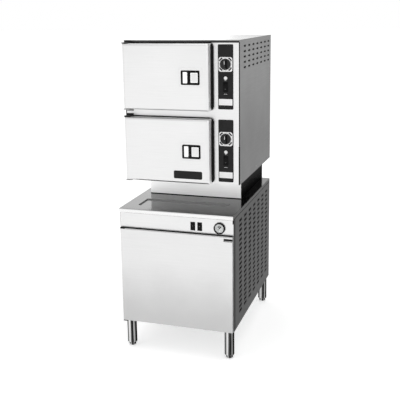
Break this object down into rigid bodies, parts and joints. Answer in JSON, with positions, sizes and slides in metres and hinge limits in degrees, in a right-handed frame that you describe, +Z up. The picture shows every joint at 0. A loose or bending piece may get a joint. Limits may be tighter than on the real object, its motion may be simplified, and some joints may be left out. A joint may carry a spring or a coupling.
{
  "type": "convection steamer",
  "caption": "Two-compartment convection steamer on a louvred cabinet base that holds its electric steam generator.",
  "frame": {"origin": "On the floor, at the middle of the overall width and depth.", "axes": "+Z up, front faces -Y, +X to the right seen from the front."},
  "size_m": [0.6096, 0.86, 1.625],
  "materials": {
    "brushed_stainless": "No. 4 brushed stainless sheet",
    "mill_stainless": "2B mill finish stainless",
    "polished_steel": "polished and plated steel",
    "silicone_rubber": "moulded black silicone",
    "black_moulding": "moulded black nylon",
    "black_enamel": "black satin enamel on sheet",
    "brass": "machined brass",
    "copper": "drawn copper tube",
    "white_lens": "moulded white polycarbonate",
    "clear_glass": "clear float and borosilicate glass",
    "white_dial": "white enamelled dial",
    "black_needle": "black painted needle"
  },
  "bodies": {
    "root": {"base_back_panel": "brushed_stainless", "base_frame": "mill_stainless", "base_side_panel_left": "brushed_stainless", "base_side_panel_right": "brushed_stainless", "base_top": "brushed_stainless", "boiler_vessel": "mill_stainless", "bottom_pan": "mill_stainless", "control_box": "mill_stainless", "control_strips": "black_enamel", "copper_pipes": "copper", "drain_pipe": "copper", "face_frame": "brushed_stainless", "fascia_panel": "brushed_stainless", "gauge_case": "black_moulding", "gauge_cocks": "brass", "gauge_dial": "white_dial", "gauge_lens": "clear_glass", "heating_elements": "polished_steel", "hinge_brackets": "black_enamel", "legs": "polished_steel", "lower_compartment": "brushed_stainless", "neck_shell": "brushed_stainless", "pan_racks": "mill_stainless", "pilot_lamps": "white_lens", "relief_valve": "brass", "sight_glass": "clear_glass", "solenoid_valves": "brass", "switch_bodies": "black_moulding", "timer_bodies": "black_moulding", "upper_back_panel": "brushed_stainless", "upper_bottom_panel": "brushed_stainless", "upper_compartment": "brushed_stainless", "upper_side_panel_left": "brushed_stainless", "upper_side_panel_right": "brushed_stainless", "upper_top_panel": "brushed_stainless"},
    "foot_front_left": {"foot_front_left": "polished_steel"},
    "foot_front_right": {"foot_front_right": "polished_steel"},
    "foot_back_left": {"foot_back_left": "polished_steel"},
    "foot_back_right": {"foot_back_right": "polished_steel"},
    "base_door": {"base_door": "brushed_stainless"},
    "base_rocker_left": {"base_rocker_left": "black_moulding"},
    "base_rocker_right": {"base_rocker_right": "black_moulding"},
    "gauge_needle": {"gauge_needle": "black_needle"},
    "relief_lever": {"relief_lever": "polished_steel"},
    "lower_door": {"lower_door_skin": "brushed_stainless", "lower_door_liner": "brushed_stainless", "lower_door_gasket": "silicone_rubber", "lower_latch_bezel": "black_moulding"},
    "lower_latch_paddle": {"lower_latch_paddle": "polished_steel"},
    "lower_latch_slide": {"lower_latch_slide": "polished_steel"},
    "lower_timer_knob": {"lower_timer_knob": "black_moulding"},
    "lower_rocker": {"lower_rocker": "black_moulding"},
    "upper_door": {"upper_door_skin": "brushed_stainless", "upper_door_liner": "brushed_stainless", "upper_door_gasket": "silicone_rubber", "upper_latch_bezel": "black_moulding"},
    "upper_latch_paddle": {"upper_latch_paddle": "polished_steel"},
    "upper_latch_slide": {"upper_latch_slide": "polished_steel"},
    "upper_timer_knob": {"upper_timer_knob": "black_moulding"},
    "upper_rocker": {"upper_rocker": "black_moulding"}
  },
  "joints": [
    {"name": "level_foot_front_left", "type": "hinge", "parent": "root", "child": "foot_front_left", "pos_m": [-0.2728, -0.3854, 0.02], "axis": [0, 0, 1], "continuous": true},
    {"name": "level_foot_front_right", "type": "hinge", "parent": "root", "child": "foot_front_right", "pos_m": [0.2728, -0.3854, 0.02], "axis": [0, 0, 1], "continuous": true},
    {"name": "level_foot_back_left", "type": "hinge", "parent": "root", "child": "foot_back_left", "pos_m": [-0.2728, 0.3886, 0.02], "axis": [0, 0, 1], "continuous": true},
    {"name": "level_foot_back_right", "type": "hinge", "parent": "root", "child": "foot_back_right", "pos_m": [0.2728, 0.3886, 0.02], "axis": [0, 0, 1], "continuous": true},
    {"name": "base_door_swing", "type": "hinge", "parent": "root", "child": "base_door", "pos_m": [-0.296, -0.423, 0.158], "axis": [0, 0, -1], "range_deg": [0, 120]},
    {"name": "base_rocker_left_tilt", "type": "hinge", "parent": "root", "child": "base_rocker_left", "pos_m": [0.092, -0.41, 0.708], "axis": [1, 0, 0], "range_deg": [0, 20]},
    {"name": "base_rocker_right_tilt", "type": "hinge", "parent": "root", "child": "base_rocker_right", "pos_m": [0.1285, -0.41, 0.708], "axis": [1, 0, 0], "range_deg": [0, 20]},
    {"name": "needle_turn", "type": "hinge", "parent": "root", "child": "gauge_needle", "pos_m": [0.232, -0.415, 0.708], "axis": [0, 1, 0], "range_deg": [0, 270], "stiffness_Nm_per_rad": 0.0005},
    {"name": "relief_lever_lift", "type": "hinge", "parent": "root", "child": "relief_lever", "pos_m": [-0.16, 0.165, 0.6755], "axis": [-1, 0, 0], "range_deg": [0, 60], "stiffness_Nm_per_rad": 0.3},
    {"name": "lower_door_swing", "type": "hinge", "parent": "root", "child": "lower_door", "pos_m": [-0.284, -0.332, 1.075], "axis": [0, 0, -1], "range_deg": [0, 165]},
    {"name": "lower_paddle_pull", "type": "hinge", "parent": "lower_door", "child": "lower_latch_paddle", "pos_m": [0.0615, -0.343, 1.075], "axis": [0, 0, -1], "range_deg": [0, 25], "stiffness_Nm_per_rad": 0.4},
    {"name": "lower_latch_draw", "type": "slide", "parent": "lower_door", "child": "lower_latch_slide", "axis": [1, 0, 0], "range_m": [0, 0.00913]},
    {"name": "lower_timer_turn", "type": "hinge", "parent": "root", "child": "lower_timer_knob", "pos_m": [0.2324, -0.293, 1.138], "axis": [0, 1, 0], "range_deg": [0, 300]},
    {"name": "lower_rocker_tilt", "type": "hinge", "parent": "root", "child": "lower_rocker", "pos_m": [0.2324, -0.288, 1.0273], "axis": [1, 0, 0], "range_deg": [0, 20]},
    {"name": "upper_door_swing", "type": "hinge", "parent": "root", "child": "upper_door", "pos_m": [-0.284, -0.332, 1.445], "axis": [0, 0, -1], "range_deg": [0, 165]},
    {"name": "upper_paddle_pull", "type": "hinge", "parent": "upper_door", "child": "upper_latch_paddle", "pos_m": [0.0615, -0.343, 1.445], "axis": [0, 0, -1], "range_deg": [0, 25], "stiffness_Nm_per_rad": 0.4},
    {"name": "upper_latch_draw", "type": "slide", "parent": "upper_door", "child": "upper_latch_slide", "axis": [1, 0, 0], "range_m": [0, 0.00913]},
    {"name": "upper_timer_turn", "type": "hinge", "parent": "root", "child": "upper_timer_knob", "pos_m": [0.2324, -0.293, 1.508], "axis": [0, 1, 0], "range_deg": [0, 300]},
    {"name": "upper_rocker_tilt", "type": "hinge", "parent": "root", "child": "upper_rocker", "pos_m": [0.2324, -0.288, 1.3973], "axis": [1, 0, 0], "range_deg": [0, 20]}
  ],
  "couplings": [
    {"joint": "lower_latch_draw", "follows": "lower_paddle_pull", "m_per_rad": 0.020703},
    {"joint": "upper_latch_draw", "follows": "upper_paddle_pull", "m_per_rad": 0.020703}
  ]
}
